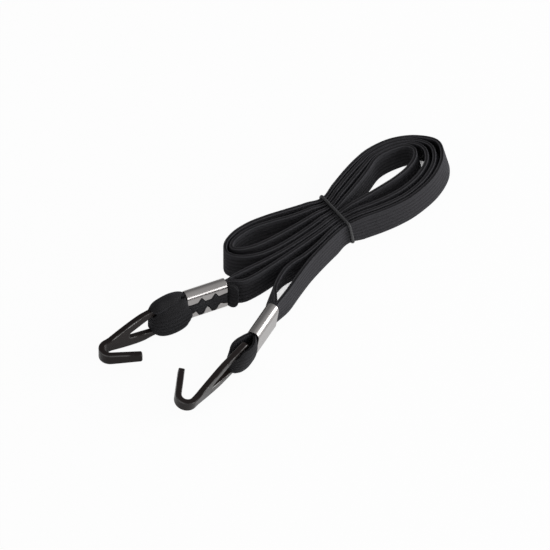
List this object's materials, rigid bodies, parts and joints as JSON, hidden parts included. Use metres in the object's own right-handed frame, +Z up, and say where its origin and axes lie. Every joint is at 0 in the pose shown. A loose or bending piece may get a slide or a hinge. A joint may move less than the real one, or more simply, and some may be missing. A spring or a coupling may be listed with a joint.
{
  "type": "elastic luggage strap",
  "caption": "Flat woven elastic strap, doubled, with a bent steel plate hook on a band loop at each end, wound into a hank and tied at the waist.",
  "frame": {"origin": "middle of the outline's box, on the plane the hank stands on", "axes": "+X along the hank, away from the hooks; +Z up, across the band's width"},
  "size_m": [0.1874, 0.0774, 0.0146],
  "materials": {
    "elastic": "woven black elastic with lengthwise ribs",
    "hook": "satin black steel plate",
    "ferrule": "bright nickel-plated sheet steel",
    "tie": "thin black elastic ring"
  },
  "bodies": {
    "strap": {"band_strand_1": "elastic", "band_strand_2": "elastic", "eye_loop_left": "elastic", "eye_loop_right": "elastic", "ferrule_left": "ferrule", "ferrule_right": "ferrule", "waist_tie": "tie"},
    "hook_left": {"hook_left": "hook"},
    "hook_right": {"hook_right": "hook"}
  },
  "joints": [
    {"name": "hook_left_swing", "type": "hinge", "parent": "strap", "child": "hook_left", "pos_m": [-0.05745, 0.01061, 0.00735], "axis": [0, 0, 1], "range_deg": [-45, 35]},
    {"name": "hook_right_swing", "type": "hinge", "parent": "strap", "child": "hook_right", "pos_m": [-0.04477, -0.02686, 0.00735], "axis": [0.076, -0.2297, 0.9703], "range_deg": [-35, 45]}
  ]
}
